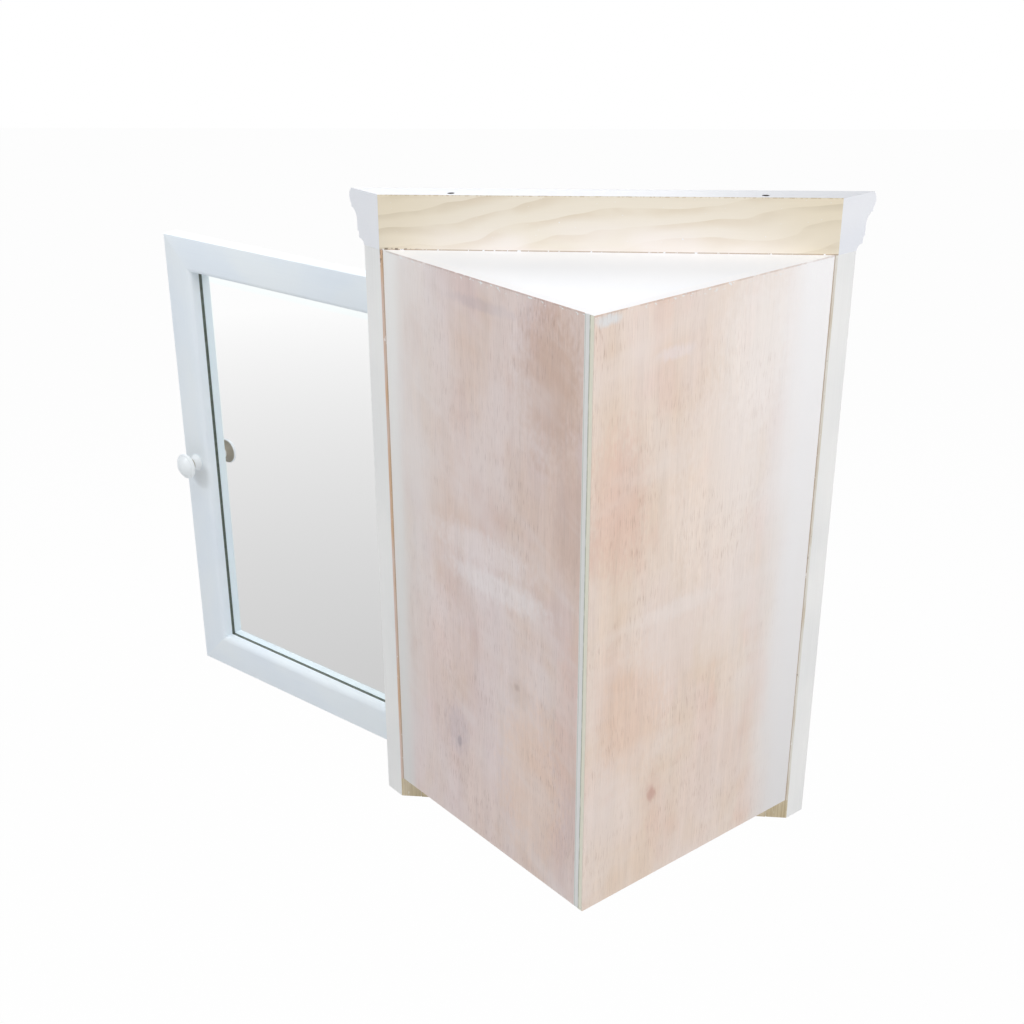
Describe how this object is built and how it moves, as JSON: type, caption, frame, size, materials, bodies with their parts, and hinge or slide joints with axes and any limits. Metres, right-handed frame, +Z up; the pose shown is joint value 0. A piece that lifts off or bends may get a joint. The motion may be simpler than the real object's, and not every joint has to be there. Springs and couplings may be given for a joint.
{
  "type": "corner medicine cabinet",
  "caption": "Corner wall cabinet of plywood with a white face frame, a moulded cornice, shelves and an inset door with a framed mirror and a round knob on butt hinges.",
  "frame": {"origin": "the point where the two walls meet, at the height of the box's underside", "axes": "+Z up, +Y into the wall corner, -Y is the way the closed door faces, +X to the right as seen from the front"},
  "size_m": [0.7423, 0.4515, 0.662],
  "materials": {
    "plywood": "raw reddish plywood with a vertical grain and white overspray at its edges",
    "painted_wood": "solid wood in white satin paint, bare where it faces the wall",
    "hardboard": "brown hardboard",
    "mirror": "silvered flat glass",
    "steel": "zinc-plated",
    "dark_steel": "black phosphated",
    "white_plastic": "moulded",
    "clear_plastic": "translucent moulded",
    "magnet": "ferrite"
  },
  "bodies": {
    "cabinet": {"panel_left": "plywood", "panel_right": "plywood", "top_board": "painted_wood", "bottom_board": "painted_wood", "shelf_upper": "painted_wood", "shelf_lower": "painted_wood", "shelf_pins_upper": "clear_plastic", "shelf_pins_lower": "clear_plastic", "stile_left": "painted_wood", "stile_right": "painted_wood", "rail_top": "painted_wood", "rail_bottom": "painted_wood", "cornice": "painted_wood", "cornice_screws": "dark_steel", "hinge_leaf_frame_upper": "steel", "hinge_leaf_frame_lower": "steel", "hinge_pin_upper": "steel", "hinge_pin_lower": "steel", "hinge_screws_frame": "steel", "catch_body": "white_plastic", "catch_magnet": "magnet", "catch_screws": "steel"},
    "door": {"door_stile_hinge": "painted_wood", "door_stile_free": "painted_wood", "door_rail_top": "painted_wood", "door_rail_bottom": "painted_wood", "mirror": "mirror", "mirror_backing": "hardboard", "mirror_clips": "steel", "mirror_clip_screws": "steel", "knob": "painted_wood", "knob_screw": "steel", "hinge_leaf_door_upper": "steel", "hinge_leaf_door_lower": "steel", "hinge_screws_door": "steel", "strike_plate": "steel", "strike_screw": "steel"}
  },
  "joints": [
    {"name": "door_hinge", "type": "hinge", "parent": "cabinet", "child": "door", "pos_m": [0.18628, -0.2305, 0.279], "axis": [0, 0, 1], "range_deg": [-146.5, 33.5]}
  ]
}
